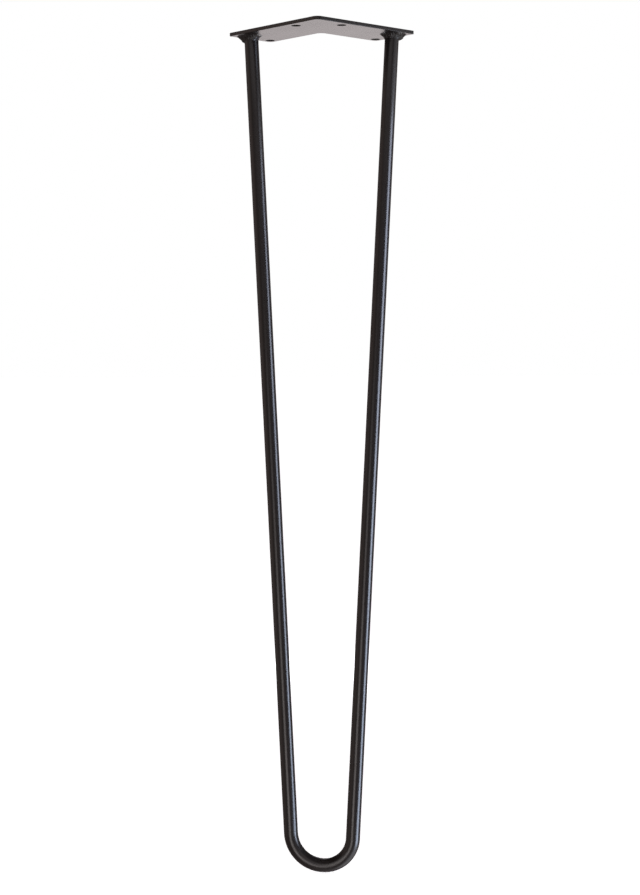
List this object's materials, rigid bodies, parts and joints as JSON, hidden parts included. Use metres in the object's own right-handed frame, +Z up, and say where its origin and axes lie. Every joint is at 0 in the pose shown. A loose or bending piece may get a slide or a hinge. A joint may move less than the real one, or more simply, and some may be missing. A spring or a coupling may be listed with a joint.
{
  "type": "hairpin table leg",
  "caption": "Hairpin table leg: a round steel rod bent into a narrow, outward-leaning U and welded by its ends to a flat L-shaped mounting plate with screw holes, coated satin black.",
  "frame": {"origin": "point of the plate's top face where the centre lines of its two arms cross", "axes": "+Z up, out of the plate's top face into the table top; X across the two ends of the rod; -Y towards the plate's outer corner, the way the foot leans"},
  "size_m": [0.1568, 0.1083, 0.711],
  "materials": {
    "powder_coat": "satin black powder coat on steel"
  },
  "bodies": {
    "root": {"mounting_plate": "powder_coat", "hairpin_rod": "powder_coat", "weld_bead_left": "powder_coat", "weld_bead_right": "powder_coat"}
  },
  "joints": []
}
